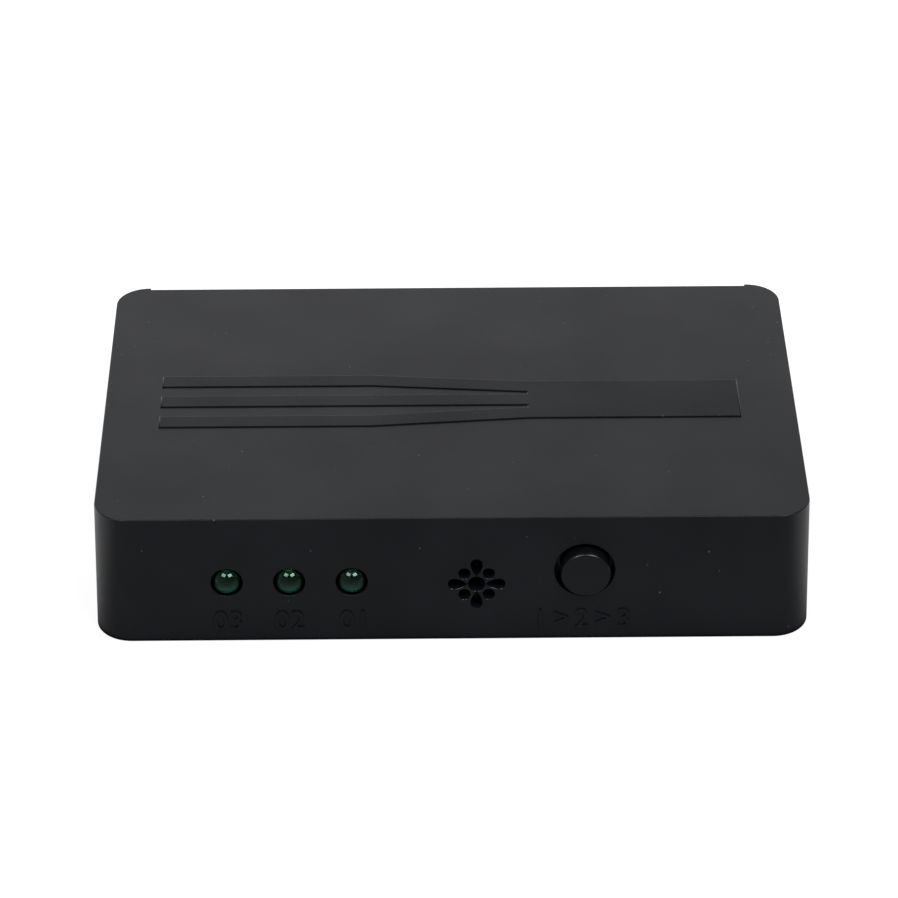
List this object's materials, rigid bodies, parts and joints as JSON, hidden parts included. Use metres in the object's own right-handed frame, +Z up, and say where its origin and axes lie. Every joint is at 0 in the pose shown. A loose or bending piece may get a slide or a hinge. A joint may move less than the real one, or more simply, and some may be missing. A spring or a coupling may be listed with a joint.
{
  "type": "video switch box",
  "caption": "Small black box that switches video sources to one screen, with sockets along the back, indicator lamps, an infrared eye and a select button in front.",
  "frame": {"origin": "middle of the bottom face, on the surface that the box stands on", "axes": "+X to the right seen from the front, -Y out of the front with the lamps and button, +Z up"},
  "size_m": [0.072, 0.0478, 0.0145],
  "materials": {
    "case_black": "satin moulded ABS with a very fine spark texture",
    "screw_black": "blackened steel, cross recess",
    "screw_zinc": "bright zinc plating",
    "board_green": "glass-epoxy laminate under green solder mask",
    "shell_steel": "nickel-plated sheet",
    "socket_black": "moulded polymer",
    "contact_gold": "gold-flashed strip",
    "lamp_green": "tinted clear epoxy",
    "tinned_lead": "tinned",
    "eye_black": "dark infrared-clear epoxy",
    "button_black": "satin moulded ABS",
    "switch_black": "moulded polymer",
    "switch_steel": "tinned sheet",
    "jack_metal": "nickel-plated brass",
    "chip_black": "moulded epoxy",
    "can_metal": "drawn can",
    "capacitor_tan": "fired ceramic"
  },
  "bodies": {
    "case": {"top_cover": "case_black", "bottom_cover": "case_black", "case_screws": "screw_black", "board_screws": "screw_zinc", "circuit_board": "board_green", "socket_shell_out": "shell_steel", "socket_shell_in_3": "shell_steel", "socket_shell_in_2": "shell_steel", "socket_shell_in_1": "shell_steel", "socket_insulator_out": "socket_black", "socket_insulator_in_3": "socket_black", "socket_insulator_in_2": "socket_black", "socket_insulator_in_1": "socket_black", "jack_housing": "socket_black", "socket_contacts_out": "contact_gold", "socket_contacts_in_3": "contact_gold", "socket_contacts_in_2": "contact_gold", "socket_contacts_in_1": "contact_gold", "lamp_lens_1": "lamp_green", "lamp_lens_2": "lamp_green", "lamp_lens_3": "lamp_green", "lamp_leads_1": "tinned_lead", "lamp_leads_2": "tinned_lead", "lamp_leads_3": "tinned_lead", "ir_receiver_leads": "tinned_lead", "switch_terminals": "tinned_lead", "video_chip_leads": "tinned_lead", "controller_leads": "tinned_lead", "regulator_leads": "tinned_lead", "ir_receiver": "eye_black", "switch_base": "switch_black", "switch_frame": "switch_steel", "switch_dome": "switch_steel", "jack_pin": "jack_metal", "jack_spring": "jack_metal", "video_chip": "chip_black", "controller_chip": "chip_black", "regulator": "chip_black", "diodes": "chip_black", "chip_resistors": "chip_black", "can_bases": "chip_black", "crystal": "can_metal", "electrolytic_cans": "can_metal", "chip_capacitors": "capacitor_tan"},
    "button": {"select_button": "button_black", "switch_plunger": "switch_black"}
  },
  "joints": [
    {"name": "select_press", "type": "slide", "parent": "case", "child": "button", "axis": [0, 1, 0], "range_m": [0, 0.0003], "stiffness_N_per_m": 5000, "deforming": ["switch_dome"]}
  ]
}
